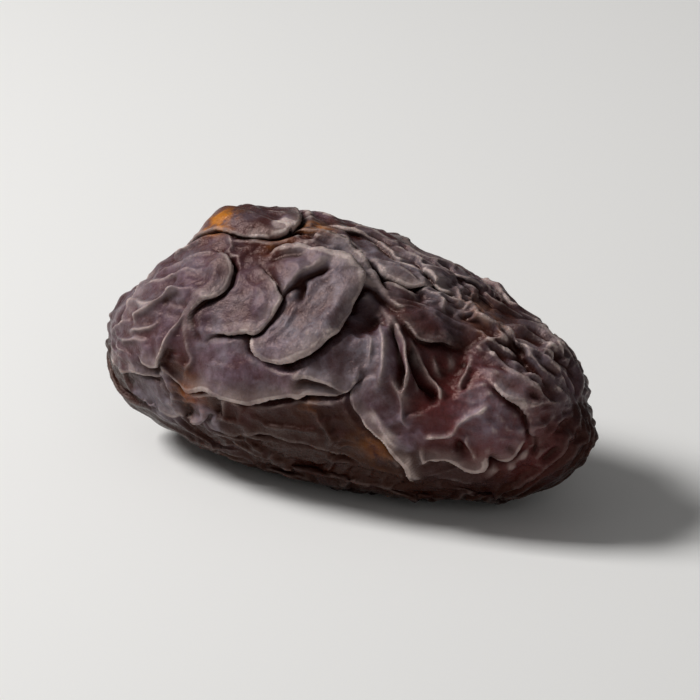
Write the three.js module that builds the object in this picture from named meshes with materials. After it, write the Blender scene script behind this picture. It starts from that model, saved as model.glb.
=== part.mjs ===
// One dried Medjool date lying on its side: a blunt stem end, a narrower tip, shrivelled skin that
// has folded into overlapping plates, and a small flat where the soft flesh has settled.
// Millimetres, +Z up. The long axis runs along X with the stem end at -X, and the origin is under
// the middle of the bounding box, on the flat.
//
// Places on the skin are given as [polar, girth] in degrees. Polar runs from 0 at the stem end to
// 180 at the tip. Girth runs round the fruit: 0 is +Y, 90 is the top, 180 is -Y and 270 is below.
import * as THREE from "three";
import { mergeVertices } from "three/addons/utils/BufferGeometryUtils.js";

const LENGTH = 49;
const WIDTH = 24.9;
const HEIGHT = 23.7;
const PLAIN = { length: 48.1, width: 24.1, height: 22.6 }; // the ellipsoid that carries the wrinkles
const CELLS = { x: 40, y: 20, z: 20 }; // grid of the box that is wrapped into the skin

// Four outlines, each the distance of the skin from the middle as a share of a plain ellipsoid's,
// every 22.5 degrees of polar angle from the stem end to the tip.
const OUTLINES = {
  far: [0.96, 0.97, 1.02, 1.03, 1.0, 0.97, 0.92, 0.96, 0.98],
  top: [0.96, 0.9, 0.94, 1.05, 1.0, 0.9, 0.8, 0.9, 0.98],
  near: [0.96, 1.01, 1.06, 1.04, 1.0, 1.0, 1.0, 0.98, 0.98],
  under: [0.96, 1.09, 1.15, 1.09, 1.05, 1.1, 1.15, 1.08, 0.98],
};

// Plates of skin that stand over the skin beside them. Each edge is followed with its plate on the
// left hand as seen from outside. Rise is the height of the rim and drop the depth of the crease.
const PLATE_EDGES = [
  { rise: 0.6, drop: 0.6, edge: [[70, 168], [68, 160], [67, 152], [68, 144], [72, 136], [71, 126], [63, 116]] },
  { rise: 0.5, drop: 0.5, edge: [[69, 165], [72, 159], [77, 155], [83, 151], [85, 141], [84, 134], [75, 120]] },
  {
    rise: 0.7,
    drop: 0.8,
    edge: [[82, 157], [85, 163], [90, 165], [95, 160], [100, 149], [102, 136], [100, 122], [93, 115], [86, 117]],
  },
  { rise: 0.5, drop: 0.6, edge: [[30, 200], [38, 195], [46, 190], [56, 187], [60, 182]] },
  {
    rise: 0.6,
    drop: 0.7,
    edge: [[61, 183], [67, 184], [73, 182], [80, 183], [88, 181], [93, 176], [99, 175], [104, 172], [110, 163]],
  },
  {
    rise: 0.8,
    drop: 0.6,
    edge: [[112, 160], [107, 170], [107, 178], [109, 185], [112, 192], [115, 200], [117, 210], [116, 226]],
  },
  { rise: 0.5, drop: 0.7, edge: [[110, 126], [117, 134], [121, 138], [126, 136], [131, 132], [135, 124]] },
  { rise: 0.5, drop: 0.5, edge: [[137, 149], [142, 155], [147, 165], [151, 178], [152, 192], [151, 204], [147, 214]] },
  { rise: 0.5, drop: 0.5, edge: [[118, 214], [123, 212], [130, 218], [134, 216], [138, 210], [144, 207], [149, 198]] },
  { rise: 0.5, drop: 0.6, edge: [[110, 118], [104, 113], [98, 105], [91, 98], [86, 96], [80, 90]] },
  { rise: 0.5, drop: 0.6, edge: [[97, 99], [101, 104], [105, 108], [110, 107], [114, 100], [118, 88]] },
  { rise: 0.7, drop: 0.6, edge: [[46, 104], [56, 104], [63, 105], [71, 108], [78, 106], [80, 98], [77, 84], [70, 68]] },
  { rise: 0.4, drop: 0.5, edge: [[66, 204], [74, 204], [82, 201], [92, 201], [100, 204], [108, 212]] },
  { rise: 0.5, drop: 0.5, edge: [[30, 20], [48, 30], [66, 34], [84, 28], [100, 16], [116, 10], [132, 16]] },
  { rise: 0.6, drop: 0.6, edge: [[120, 60], [104, 62], [90, 54], [80, 44], [66, 50], [52, 60], [40, 60]] },
  { rise: 0.5, drop: 0.6, edge: [[26, 345], [42, 352], [58, 2], [72, 4], [84, 356], [92, 344], [104, 338], [120, 342]] },
  { rise: 0.6, drop: 0.5, edge: [[150, 30], [140, 38], [130, 34], [122, 24], [124, 8], [132, 354], [144, 346]] },
  { rise: 0.4, drop: 0.5, edge: [[58, 318], [70, 324], [84, 322], [96, 314], [110, 312], [124, 320], [136, 318]] },
  { rise: 0.4, drop: 0.4, edge: [[24, 120], [36, 128], [44, 142], [40, 158], [30, 170]] },
];

// Narrow ridges that stand up from the skin on both sides, from the stem end side to the tip side.
const RIDGES = [
  { rise: 0.6, edge: [[57, 187], [60, 178], [62, 170], [63, 162], [65, 152], [66, 141]] },
  { rise: 0.4, edge: [[40, 148], [50, 149], [58, 144], [66, 139]] },
  { rise: 0.5, edge: [[103, 124], [108, 131], [111, 138], [114, 148], [116, 160], [116, 174]] },
  { rise: 0.8, edge: [[108, 128], [115, 137], [118, 146], [120, 156], [122, 166], [124, 178]] },
  { rise: 0.7, edge: [[134, 126], [134, 136], [134, 148], [133, 158], [130, 168], [128, 178]] },
  { rise: 0.5, edge: [[138, 120], [142, 132], [146, 142], [152, 152], [158, 160], [166, 170]] },
  { rise: 0.6, edge: [[118, 84], [126, 96], [134, 104], [144, 108], [156, 110], [168, 108]] },
  { rise: 0.5, edge: [[140, 60], [148, 66], [158, 68], [168, 66]] },
  { rise: 0.5, edge: [[146, 6], [154, 2], [162, 356], [170, 350]] },
  { rise: 0.5, edge: [[146, 232], [154, 228], [162, 222], [170, 214]] },
];

// Rounded swellings and, where the height is negative, hollows.
const MOUNDS = [
  { at: [64, 84], radius: 6.5, height: 0.8 },
  { at: [128, 150], radius: 3.4, height: -0.9 },
  { at: [142, 190], radius: 3.6, height: 0.5 },
  { at: [112, 146], radius: 3, height: -0.4 },
  { at: [60, 10], radius: 5, height: -0.5 },
  { at: [106, 356], radius: 5.5, height: -0.6 },
  { at: [100, 74], radius: 4.5, height: -0.5 },
];

// The stem scar: a dish with a raised lip and a blunt boss where the stalk came away.
const SCAR = { radius: 3.6, depth: 0.8, lip: 0.5, bossRadius: 1.3, bossHeight: 0.9 };
const TIP_PIT = { radius: 1.6, depth: 0.6 };

const PLATE_REACH = 3; // distance over which a rim sinks back to the plain skin
const CREASE_WIDTH = 1.3;
const EDGE_SOFTNESS = 1; // half the width of the slope from rim to crease
const RIDGE_WIDTH = 1.2;
const END_FADE = 3; // length over which a fold dies out at each end
const STEP = 0.4; // spacing of the points that stand for a fold

const { cos, sin, min, max, exp, acos, atan2, tan, PI } = Math;
const radians = THREE.MathUtils.degToRad;
const smoothstep = THREE.MathUtils.smoothstep;

// A smooth closed curve through one outline there and the opposite one back.
function closedOutline(there, back) {
  const shares = [...there, ...back.slice(1, -1).reverse()];
  const points = shares.map((share) => new THREE.Vector3(share, 0, 0));
  return new THREE.CatmullRomCurve3(points, true, "catmullrom");
}

const SIDE_VIEW = closedOutline(OUTLINES.top, OUTLINES.under);
const PLAN_VIEW = closedOutline(OUTLINES.far, OUTLINES.near);

// The unwrinkled skin at an angle from the stem end and an angle round the fruit, in radians.
function skinPoint(polar, girth) {
  const turn = polar / (2 * PI);
  const back = (1 - turn) % 1;
  const side = PLAN_VIEW.getPoint(cos(girth) > 0 ? turn : back).x;
  const topOrUnder = SIDE_VIEW.getPoint(sin(girth) > 0 ? turn : back).x;
  const share = side * cos(girth) ** 2 + topOrUnder * sin(girth) ** 2;
  return new THREE.Vector3(
    (-PLAIN.length / 2) * cos(polar) * share,
    (PLAIN.width / 2) * sin(polar) * cos(girth) * share,
    (PLAIN.height / 2) * (1 + sin(polar) * sin(girth) * share),
  );
}

function placeOnSkin([polar, girth]) {
  return skinPoint(radians(polar), radians(girth));
}

// The outward direction of the ellipsoid under a point of the skin.
function outward(point) {
  return new THREE.Vector3(
    point.x / PLAIN.length ** 2,
    point.y / PLAIN.width ** 2,
    (point.z - PLAIN.height / 2) / PLAIN.height ** 2,
  ).normalize();
}

// Evenly spaced points along a fold.
function tracePoints({ edge }) {
  const curve = new THREE.CatmullRomCurve3(edge.map(placeOnSkin));
  return curve.getSpacedPoints(Math.ceil(curve.getLength() / STEP));
}

const EDGE_TRACES = PLATE_EDGES.map(tracePoints);
const RIDGE_TRACES = RIDGES.map(tracePoints);

// Where a point lies from a fold: its distance, positive on the left, and how strong the fold is
// at the nearest place along it.
function besideTrace(point, normal, trace) {
  let nearest = 0;
  trace.forEach((q, i) => {
    if (q.distanceToSquared(point) < trace[nearest].distanceToSquared(point)) nearest = i;
  });
  const along = trace[min(nearest + 1, trace.length - 1)].clone().sub(trace[max(nearest - 1, 0)]);
  const offset = point.clone().sub(trace[nearest]);
  const left = normal.clone().cross(along).dot(offset) > 0 ? 1 : -1;
  const fromEnd = min(nearest, trace.length - 1 - nearest) * STEP;
  return { distance: left * offset.length(), strength: smoothstep(fromEnd, 0, END_FADE) };
}

function plateHeight(point, normal) {
  let height = 0;
  PLATE_EDGES.forEach(({ rise, drop }, i) => {
    const { distance, strength } = besideTrace(point, normal, EDGE_TRACES[i]);
    const rim = rise * exp(-max(distance, 0) / PLATE_REACH);
    const crease = -drop * exp(-((min(distance, 0) / CREASE_WIDTH) ** 2));
    const onPlate = smoothstep(distance, -EDGE_SOFTNESS, EDGE_SOFTNESS);
    height += strength * (crease + (rim - crease) * onPlate);
  });
  return height;
}

function ridgeHeight(point, normal) {
  let height = 0;
  RIDGES.forEach(({ rise }, i) => {
    const { distance, strength } = besideTrace(point, normal, RIDGE_TRACES[i]);
    height += strength * rise * exp(-((distance / RIDGE_WIDTH) ** 2));
  });
  return height;
}

function moundHeight(point) {
  return MOUNDS.reduce((height, mound) => {
    const away = placeOnSkin(mound.at).distanceTo(point) / mound.radius;
    return height + mound.height * exp(-(away ** 2));
  }, 0);
}

// The scar and the pit are measured from the long axis through the two ends.
function endHeight(point) {
  const away = Math.hypot(point.y, point.z - PLAIN.height / 2);
  if (point.x > 0) return -TIP_PIT.depth * exp(-((away / TIP_PIT.radius) ** 2));
  const dish = -SCAR.depth * exp(-((away / SCAR.radius) ** 4));
  const lip = SCAR.lip * exp(-((away - SCAR.radius) ** 2));
  const boss = SCAR.bossHeight * exp(-((away / SCAR.bossRadius) ** 2));
  return dish + lip + boss;
}

function wrinkledPoint(polar, girth) {
  const point = skinPoint(polar, girth);
  const normal = outward(point);
  const height =
    plateHeight(point, normal) + ridgeHeight(point, normal) + moundHeight(point) + endHeight(point);
  return point.addScaledVector(normal, height);
}

// Stretches a geometry to the exact outer size and stands it on z = 0 over the origin.
function fitToSize(geometry) {
  geometry.computeBoundingBox();
  const box = geometry.boundingBox;
  const size = box.getSize(new THREE.Vector3());
  geometry.translate(-(box.min.x + box.max.x) / 2, -(box.min.y + box.max.y) / 2, -box.min.z);
  geometry.scale(LENGTH / size.x, WIDTH / size.y, HEIGHT / size.z);
}

// The skin, from a box grid whose points are pushed out to the wrinkled surface. Whatever would
// hang below the resting plane is flattened onto it.
function skin() {
  const box = new THREE.BoxGeometry(2, 2, 2, CELLS.x, CELLS.y, CELLS.z);
  box.deleteAttribute("normal");
  box.deleteAttribute("uv");
  const at = box.getAttribute("position");
  for (let i = 0; i < at.count; i++) {
    const evened = [at.getX(i), at.getY(i), at.getZ(i)].map((c) => tan((c * PI) / 4));
    const [x, y, z] = new THREE.Vector3(...evened).normalize().toArray();
    const point = wrinkledPoint(acos(-x), atan2(z, y));
    at.setXYZ(i, point.x, point.y, max(point.z, 0));
  }
  const merged = mergeVertices(box, 1e-4);
  fitToSize(merged);
  merged.computeVertexNormals();
  return merged;
}

const date = new THREE.Mesh(
  skin(),
  new THREE.MeshStandardMaterial({ color: 0x3a1c16, roughness: 0.45, metalness: 0 }),
);
date.name = "date";

const part = new THREE.Group();
part.add(date);
export default part;
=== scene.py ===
# One dried Medjool date, dressed around its CAD solid. The solid gives the outer form and the soft
# folds. This script lays a fine skin over it, draws the folds crisply, adds the smaller ones, lets
# the skin shrivel in a small simulation, and gives it its colours. Lengths are in millimetres until
# the mesh is made, because the frame is in metres.
import math

import bpy
import numpy as np
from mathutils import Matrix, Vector, noise
from mathutils.bvhtree import BVHTree


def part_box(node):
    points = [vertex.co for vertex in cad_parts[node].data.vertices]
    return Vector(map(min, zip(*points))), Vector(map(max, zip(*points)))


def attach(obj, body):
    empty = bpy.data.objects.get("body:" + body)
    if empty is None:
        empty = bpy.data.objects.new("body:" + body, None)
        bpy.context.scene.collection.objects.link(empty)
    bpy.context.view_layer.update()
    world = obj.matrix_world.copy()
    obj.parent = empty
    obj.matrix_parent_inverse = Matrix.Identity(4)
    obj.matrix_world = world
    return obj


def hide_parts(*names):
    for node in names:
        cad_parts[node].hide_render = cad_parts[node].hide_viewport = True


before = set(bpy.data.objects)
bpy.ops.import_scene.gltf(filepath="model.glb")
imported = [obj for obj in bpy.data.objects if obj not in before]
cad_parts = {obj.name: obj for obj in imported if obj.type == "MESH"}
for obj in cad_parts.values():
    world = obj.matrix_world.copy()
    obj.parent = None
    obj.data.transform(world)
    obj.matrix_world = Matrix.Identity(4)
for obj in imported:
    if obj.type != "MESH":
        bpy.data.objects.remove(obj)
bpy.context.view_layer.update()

MM = 0.001
LOW, HIGH = (np.array(corner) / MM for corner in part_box("date"))
LENGTH, WIDTH, HEIGHT = HIGH - LOW

# The point that the polar and girth angles are measured from, and the half sizes of the ellipsoid
# that they belong to. Polar runs from 0 at the stem end (-X) to 180 at the tip, and girth from 0 at
# +Y over 90 at the top and 180 at -Y to 270 underneath, all in degrees.
MIDDLE = np.array([0.003 * LENGTH, 0.003 * WIDTH, 0.477 * HEIGHT])
HALF = np.array([0.491 * LENGTH, 0.484 * WIDTH, 0.477 * HEIGHT])

# The cells of the box grids that are wrapped into the skin, and the rounds that smooth the CAD
# surface on them.
COARSE = (48, 24, 24), 0
MIDWAY = (96, 48, 48), 1
FINE = (192, 96, 96), 4

# Plates of skin that stand over the skin beside them: the height of the rim, the depth of the
# crease and the edge as (polar, girth), followed with the plate on the left hand as seen from
# outside. Where the crisp edge is drawn otherwise than the solid's soft one, it comes after it.
PLATE_EDGES = [
    (0.6, 0.6, [(70, 168), (68, 160), (67, 152), (68, 144), (72, 136), (71, 126), (63, 116)]),
    (0.5, 0.5, [(69, 165), (72, 159), (77, 155), (83, 151), (85, 141), (84, 134), (75, 120)]),
    (0.7, 0.8, [(82, 157), (85, 163), (90, 165), (95, 160), (100, 149), (102, 136), (100, 122),
                (93, 115), (86, 117)],
     (0.9, 1.5, [(80, 153), (82, 158), (85, 163), (89, 164), (93, 160), (96, 155), (99, 148),
                 (101, 138), (101, 127), (99, 118), (93, 113), (86, 112), (80, 114), (76, 118)])),
    (0.5, 0.6, [(30, 200), (38, 195), (46, 190), (56, 187), (60, 182)]),
    (0.6, 0.7, [(61, 183), (67, 184), (73, 182), (80, 183), (88, 181), (93, 176), (99, 175),
                (104, 172), (110, 163)]),
    (0.8, 0.6, [(112, 160), (107, 170), (107, 178), (109, 185), (112, 192), (115, 200), (117, 210),
                (116, 226)]),
    (0.5, 0.7, [(110, 126), (117, 134), (121, 138), (126, 136), (131, 132), (135, 124)]),
    (0.5, 0.5, [(137, 149), (142, 155), (147, 165), (151, 178), (152, 192), (151, 204),
                (147, 214)]),
    (0.5, 0.5, [(118, 214), (123, 212), (130, 218), (134, 216), (138, 210), (144, 207), (149, 198)],
     (0.6, 0.9, [(119, 209), (122.5, 204), (126, 203), (130, 209), (134, 210), (136, 204),
                 (139, 208), (144, 206), (149, 198), (151, 190)])),
    (0.5, 0.6, [(110, 118), (104, 113), (98, 105), (91, 98), (86, 96), (80, 90)]),
    (0.5, 0.6, [(97, 99), (101, 104), (105, 108), (110, 107), (114, 100), (118, 88)]),
    (0.7, 0.6, [(46, 104), (56, 104), (63, 105), (71, 108), (78, 106), (80, 98), (77, 84),
                (70, 68)],
     (0.4, 1.1, [(46, 104), (56, 103), (63, 104), (71, 107), (77, 105), (79, 97), (77, 84),
                 (70, 68)])),
    (0.4, 0.5, [(66, 204), (74, 204), (82, 201), (92, 201), (100, 204), (108, 212)]),
    (0.5, 0.5, [(30, 20), (48, 30), (66, 34), (84, 28), (100, 16), (116, 10), (132, 16)]),
    (0.6, 0.6, [(120, 60), (104, 62), (90, 54), (80, 44), (66, 50), (52, 60), (40, 60)]),
    (0.5, 0.6, [(26, 345), (42, 352), (58, 362), (72, 364), (84, 356), (92, 344), (104, 338),
                (120, 342)]),
    (0.6, 0.5, [(150, 30), (140, 38), (130, 34), (122, 24), (124, 8), (132, -6), (144, -14)]),
    (0.4, 0.5, [(58, 318), (70, 324), (84, 322), (96, 314), (110, 312), (124, 320), (136, 318)]),
    (0.4, 0.4, [(24, 120), (36, 128), (44, 142), (40, 158), (30, 170)],
     (0.25, 0.4, [(20, 108), (32, 120), (40, 136), (42, 154), (36, 172)])),
]

# Narrow ridges that stand up on both sides: height and the line as (polar, girth), and the crisp
# height and line where they differ.
RIDGES = [
    (0.6, [(57, 187), (60, 178), (62, 170), (63, 162), (65, 152), (66, 141)]),
    (0.4, [(40, 148), (50, 149), (58, 144), (66, 139)]),
    (0.5, [(103, 124), (108, 131), (111, 138), (114, 148), (116, 160), (116, 174)],
     (0.8, [(102, 121), (106, 129), (109, 137), (111.5, 146), (112.5, 156), (112, 165),
            (110, 173)])),
    (0.8, [(108, 128), (115, 137), (118, 146), (120, 156), (122, 166), (124, 178)],
     (1.1, [(107, 125), (112, 132), (115, 140), (117, 148), (118, 158), (118, 168), (120, 178)])),
    (0.7, [(134, 126), (134, 136), (134, 148), (133, 158), (130, 168), (128, 178)],
     (0.9, [(135, 128), (135, 138), (134, 147), (132.5, 156), (130.5, 164), (129.5, 169)])),
    (0.5, [(138, 120), (142, 132), (146, 142), (152, 152), (158, 160), (166, 170)]),
    (0.6, [(118, 84), (126, 96), (134, 104), (144, 108), (156, 110), (168, 108)]),
    (0.5, [(140, 60), (148, 66), (158, 68), (168, 66)]),
    (0.5, [(146, 6), (154, 2), (162, -4), (170, -10)]),
    (0.5, [(146, 232), (154, 228), (162, 222), (170, 214)]),
]

# Smaller folds, which the solid doesn't have: plate edges, ridges and grooves as above.
SMALL_EDGES = [
    (0.3, 0.6, [(84, 146), (85, 138), (86, 131), (88, 125), (90, 121), (93, 117)]),
    (0.3, 0.5, [(92, 172), (95, 169), (100, 169), (104, 170), (107, 165), (108, 159)]),
    (0.3, 0.6, [(92, 109), (96, 110), (99, 115), (104, 119), (109, 122), (114, 125)]),
    (0.3, 0.4, [(52, 178), (57, 180), (61, 175), (63, 166)]),
    (0.25, 0.4, [(48, 214), (56, 208), (62, 206), (68, 203), (72, 196)]),
    (0.3, 0.5, [(150, 190), (154, 198), (153, 208), (149, 218)]),
    (0.3, 0.4, [(84, 84), (92, 82), (99, 86), (104, 94)]),
    (0.3, 0.5, [(108, 88), (114, 94), (119, 98), (122, 92)]),
    (0.3, 0.4, [(88, 240), (98, 236), (108, 240), (116, 236)]),
    (0.3, 0.4, [(44, 330), (56, 326), (66, 334), (78, 336)]),
    (0.3, 0.4, [(100, 46), (112, 40), (124, 46), (134, 54)]),
]
SMALL_RIDGES = [
    (0.35, [(65, 152), (66, 158), (67, 166), (68, 172), (66, 178)]),
    (0.5, [(49, 164), (49, 156), (53, 150), (57, 145), (62, 140)]),
    (0.3, [(46, 128), (54, 124), (60, 120), (66, 118)]),
    (0.3, [(42, 138), (50, 135), (58, 131)]),
    (0.3, [(46, 116), (53, 113), (60, 112)]),
    (0.35, [(62, 105), (66, 108), (68, 114), (69, 119)]),
    (0.65, [(117, 137), (120, 143), (123, 150), (125.5, 157), (127.5, 164), (127, 172)]),
    (0.35, [(118, 145), (120, 152), (121, 160), (121, 168)]),
    (0.3, [(114, 160), (117, 170), (118, 180), (120, 188)]),
    (0.25, [(110, 176), (113, 185), (117, 194)]),
    (0.35, [(126, 143), (127.5, 149), (129, 156)]),
    (0.3, [(130, 137), (131, 144), (130.5, 151)]),
    (0.3, [(137, 152), (135.5, 158), (134, 165)]),
    (0.3, [(141, 158), (140, 163), (139, 167)]),
    (0.35, [(47, 168), (52, 163), (57, 158)]),
    (0.3, [(106, 123), (109, 129), (112, 137), (114, 146), (115, 156)]),
    (0.3, [(108, 141), (109, 150), (109, 160)]),
    (0.25, [(122, 194), (121, 202), (121, 209)]),
    (0.5, [(134, 186), (132.5, 192), (133.5, 199), (133, 207)]),
    (0.4, [(143, 155), (147, 160), (151, 165), (157, 166)]),
    (0.4, [(144, 100), (148, 110), (153, 120), (160, 130)]),
    (0.35, [(152, 172), (155, 180), (157, 190), (157, 204)]),
    (0.3, [(163, 176), (166, 186), (167, 200)]),
    (0.8, [(140, 167), (138, 174), (134.5, 178), (131.5, 183), (129, 188), (122, 191)]),
    (0.3, [(118, 199), (118, 207), (119, 220)]),
    (0.3, [(111, 183), (114, 191), (117, 198)]),
    (0.4, [(120, 91), (124, 100), (128, 105)]),
    (0.35, [(120, 104), (122, 110), (125, 114)]),
    (0.3, [(125, 96), (128, 102), (127, 110)]),
    (0.4, [(72, 180), (75, 183), (76, 188), (75, 197)]),
    (0.3, [(62, 203), (66, 202), (70, 199)]),
    (0.3, [(84, 196), (92, 194), (99, 194)]),
    (0.3, [(38, 160), (42, 152), (48, 146)]),
    (0.3, [(36, 172), (42, 166), (47, 160)]),
    (0.25, [(44, 176), (50, 171), (55, 168)]),
    (0.25, [(52, 134), (58, 130), (64, 130)]),
    (0.3, [(40, 200), (50, 206), (60, 212)]),
    (0.3, [(50, 225), (62, 226), (76, 222)]),
    (0.3, [(88, 222), (100, 222), (112, 226)]),
    (0.35, [(148, 140), (156, 142), (164, 144), (172, 146)]),
    (0.4, [(150, 168), (158, 166), (166, 164), (173, 160)]),
    (0.35, [(152, 186), (160, 184), (168, 182)]),
    (0.35, [(154, 206), (161, 200), (168, 196)]),
    (0.4, [(146, 95), (154, 94), (163, 92)]),
    (0.35, [(140, 84), (149, 80), (160, 76)]),
]
GROOVES = [
    (0.75, [(88.5, 125), (89, 131), (89.5, 138)]),
    (0.3, [(93, 121), (93.5, 127)]),
    (0.45, [(78, 120), (82, 117), (87, 115)]),
    (0.9, [(111, 131), (113, 141), (115, 151), (117, 163), (118, 170)]),
    (0.9, [(118, 139), (120, 147), (122, 158), (125, 166), (126, 174)]),
    (0.5, [(143, 106), (148, 117), (152, 128), (158, 138), (165, 144)]),
    (0.5, [(98, 104), (101, 108), (107, 109), (113, 108)]),
    (0.5, [(141, 194), (143, 201), (142, 208)]),
    (0.5, [(131, 188), (130.5, 196), (131, 203)]),
    (0.6, [(137, 198), (138, 206), (139, 213)]),
    (0.5, [(74, 189), (74, 198)]),
    (0.4, [(60, 176), (57, 183), (52, 186)]),
    (0.5, [(129, 107), (131, 112)]),
    (0.4, [(66, 196), (64, 203), (60, 208)]),
]

# Wide round ridges, as height and line.
WELTS = [
    (0.45, [(86, 115), (92, 116), (97, 120), (99, 128), (98.5, 137), (96, 146), (93, 153)]),
    (0.3, [(66, 123), (69.5, 131), (68.5, 139), (65, 145)]),
    (0.3, [(79, 130), (82, 135), (82, 141), (79.5, 147)]),
    (0.3, [(138, 150), (143, 158), (148, 168), (151, 180)]),
]

# Hollows, or swellings where they are above 0: height, polar, girth and radius.
HOLLOWS = [
    (-1.0, 104, 129, 1.8), (-0.9, 106, 136, 1.6), (-0.7, 102, 141, 1.2), (-0.9, 131, 150, 2.2),
    (-0.5, 133, 128, 1.2), (0.9, 60, 90, 3.2), (-0.5, 121, 150, 1.0), (-0.5, 123, 160, 1.0),
    (-0.4, 91, 164, 0.7), (0.9, 143, 188, 3.2), (0.3, 86, 121, 1.2), (-0.3, 94, 138, 2.4),
    (-0.5, 113, 110, 1.4), (0.35, 78, 170, 3.0), (0.3, 57, 167, 2.4), (0.3, 58, 127, 2.2),
    (0.4, 70, 98, 2.5), (-0.6, 139, 206, 1.2),
]

# The larger folds. The solid's soft ones are taken off, and crisp ones are drawn in their place.
PLATE_REACH = 3.0  # how far a plate's raised edge reaches into it
EDGE_MARGIN = 1.0  # how far beyond its reach an edge still shapes the skin
END_FADE = 3.0  # over what length a fold fades out at its ends
SOFT_CREASE, SOFT_EDGE, SOFT_RIDGE = 1.3, 1.0, 1.2  # widths of the solid's folds
CRISP_CREASE, CRISP_EDGE, CRISP_RIDGE = 0.6, 0.22, 0.5  # widths of the new ones
CRISP_DEEPER, CRISP_HIGHER = 1.6, 1.8  # gains of creases and ridges that have no crisp line
LIP, LIP_WIDTH = 0.13, 0.28  # the curled rim of a plate, over its plain profile
OVERHANG, OVERHANG_WIDTH = 0.3, 0.9  # how far a rim leans out over its crease
GATHER, GATHER_WIDTH = 0.45, 0.5  # how the mesh crowds towards an edge, to draw it sharply
CREST_POWER = 1.2  # how sharp a ridge is: 1 for a roof's edge, 2 for a round one

# The smaller folds.
SMALL_REACH, SMALL_FADE = 1.2, 1.2
SMALL_LIP, SMALL_VIGOUR = 0.6, 0.8  # shares of what a larger edge has
NARROW_REACH = 1.8  # how far off small ridges and grooves still shape the skin
SMALL_RIDGE_GAIN, FINE_RIDGE, FOOT, FOOT_WIDTH = 1.6, 0.4, 0.4, 0.9  # the foot is a dip beside it
GROOVE_GAIN, GROOVE_WIDTH, BANK, BANK_WIDTH = 1.3, 0.45, 0.25, 0.9  # the bank is raised beside it
WELT_WIDTH, WELT_REACH = 0.8, 2.5
SHALLOW = 0.2  # hollows that are no deeper than this get no painted shade, and deeper ones are painted darker

# The masks beside the lines of the folds: how far off they lie, how wide and how strong they are.
# The rim masks paint pale rims that are partly painted highlight; the crease and groove masks paint
# shade.
RIM_AT, RIM_WIDTH = 0.15, 0.16
RIM_BAND, RIM_BAND_AT, RIM_BAND_WIDTH = 0.4, 0.5, 0.5  # a fainter, wider pale band along the rim, partly painted highlight
CREASE_AT, CREASE_WIDTH, GROOVE_MARK = -0.35, 0.4, 0.35
RIDGE_MARK, SMALL_RIDGE_MARK, SMALL_RIDGE_PALE = 0.25, 0.22, 0.85

TRACE_STEP = 0.12  # the length of the steps in which a fold's line is followed
WAVES = [(0.35, 2.8), (0.14, 1.2)]  # how far the folds stray from their lines, and over what length
VIGOUR, VIGOUR_SPREAD, VIGOUR_SIZE = 0.95, 0.7, 4.5  # how strongly the folds stand out, by place
VIGOUR_LIMITS = (0.45, 1.2)
DIMPLES = [(0.12, 2.6), (0.03, 1.1)]

CRINKLES = [(1.3, 1.9, 9), (0.8, 0.9, 10)]  # heights, sizes and layers of noise
FLAT_BETWEEN = 0.3  # where the skin between the wrinkles goes flat, as a value of the noise
CRINKLE_STRETCH = 2.2  # how much longer they are along the fruit
PUCKER_START, PUCKER_SPREAD = 5.0, 0.55  # how they draw together towards its ends
CRINKLED_ANYWHERE = 0.2
CRINKLED = [  # (polar, girth, radius, share)
    (158, 130, 8, 1.0), (150, 100, 7, 1.1), (158, 200, 6, 0.9), (165, 60, 8, 1.0),
    (140, 80, 8, 0.8), (110, 92, 6, 0.9), (96, 92, 5, 0.8), (122, 100, 5, 0.9), (70, 60, 9, 0.5),
    (110, 40, 10, 0.6), (75, 215, 8, 0.5), (105, 225, 8, 0.5), (40, 200, 6, 0.4),
    (128, 204, 3, 0.6), (60, 340, 9, 0.6), (110, 330, 9, 0.6), (165, 300, 8, 0.8), (14, 60, 7, 0.7),
    (14, 240, 7, 0.7),
]

# The stem scar, at the -X end. Its distances are from the line through the two ends.
FIBRES, FIBRE_HEIGHT, FIBRE_LEVEL = 17, 0.22, 0.6  # above this level a fibre stands out
FIBRE_WANDER, WANDER_SIZE = 4, 2.0
FIBRES_START, FIBRES_END, SCAR_EDGE = (0.9, 1.7), (3.2, 6.0), (1.0, 2.4)
PITH_RADIUS, PITH_SIZE = 1, 0.6  # the speckled middle
RAGGED_BY_FIBRES, RAGGED, RAGGED_SIZE = 0.5, 1.3, 1.2  # the scar's uneven edge


def added(name, data):
    """A new object of the scene, with the given data."""
    thing = bpy.data.objects.new(name, data)
    bpy.context.collection.objects.link(thing)
    return thing


def camera(target):
    azimuth, elevation = math.radians(30), math.radians(21)
    distance, frame_width = 0.6, 0.064
    back = Vector((math.sin(azimuth) * math.cos(elevation),
                   -math.cos(azimuth) * math.cos(elevation), math.sin(elevation)))
    data = bpy.data.cameras.new("camera")
    data.sensor_width = 36
    data.lens = data.sensor_width * distance / frame_width
    eye = added("camera", data)
    eye.location = target + back * distance
    eye.rotation_euler = back.to_track_quat("Z", "Y").to_euler()
    bpy.context.scene.camera = eye


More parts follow.
